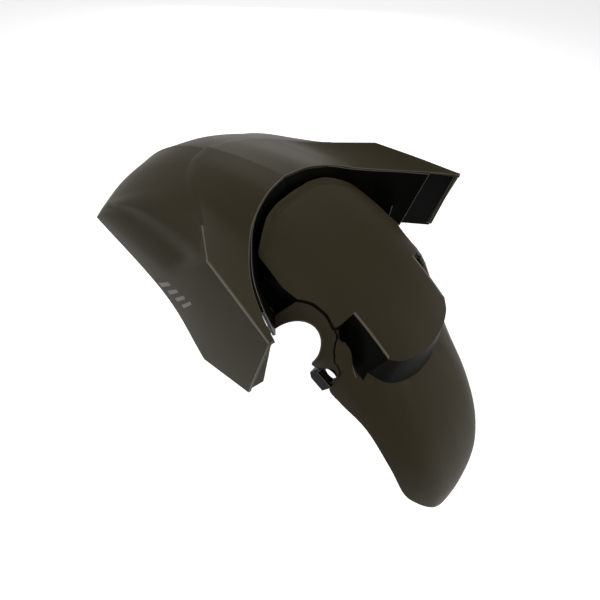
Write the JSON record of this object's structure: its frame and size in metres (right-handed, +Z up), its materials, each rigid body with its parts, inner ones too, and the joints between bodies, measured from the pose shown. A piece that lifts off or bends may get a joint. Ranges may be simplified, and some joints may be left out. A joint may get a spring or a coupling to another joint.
{
  "type": "motorcycle front mudguard",
  "caption": "Thin one-piece front mudguard with a broad nose hood, raised platform over the wheel, notches that clear the fork legs and a long narrow tail.",
  "frame": {"origin": "midway between the two fork bolt holes, on their common axis", "axes": "+X forward, +Y to the left side of the motorcycle, +Z up, as fitted on a fork raked 25 degrees"},
  "size_m": [0.529, 0.2946, 0.3095],
  "materials": {
    "moulding": "matte dark warm grey paint over black plastic"
  },
  "bodies": {
    "root": {"mudguard": "moulding"}
  },
  "joints": []
}
